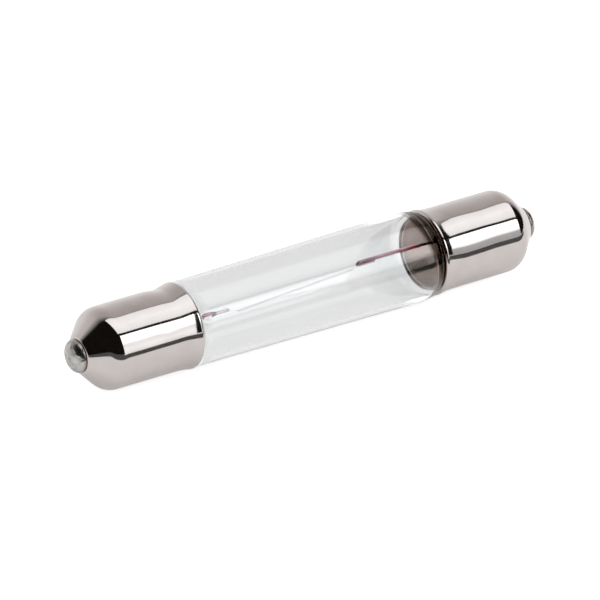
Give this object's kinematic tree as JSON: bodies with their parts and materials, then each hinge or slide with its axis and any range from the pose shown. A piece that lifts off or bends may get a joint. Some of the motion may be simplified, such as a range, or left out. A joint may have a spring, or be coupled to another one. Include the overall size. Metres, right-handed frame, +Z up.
{
  "type": "festoon bulb",
  "caption": "Clear tubular festoon lamp: a sealed glass envelope with a coiled filament on hooked lead wires, held between plated end caps with conical soldered tips.",
  "frame": {"origin": "the middle of the lamp, on its axis, halfway between the two soldered tips", "axes": "+X along the lamp's axis towards the end where the glass is wider, +Z up with the lamp lying level"},
  "size_m": [0.039, 0.0066, 0.0066],
  "materials": {
    "clear_glass": "clear blown glass",
    "nickel_plate": "bright nickel plate on drawn brass",
    "solder": "dull soft solder",
    "lead_wire": "oxidised copper sheath",
    "tungsten": "drawn tungsten",
    "cement": "baked brown basing cement"
  },
  "bodies": {
    "root": {"glass_tube": "clear_glass", "cap_left": "nickel_plate", "cap_right": "nickel_plate", "solder_tip_left": "solder", "solder_tip_right": "solder", "lead_wire_left": "lead_wire", "lead_wire_right": "lead_wire", "filament": "tungsten", "cement_left": "cement", "cement_right": "cement"}
  },
  "joints": []
}
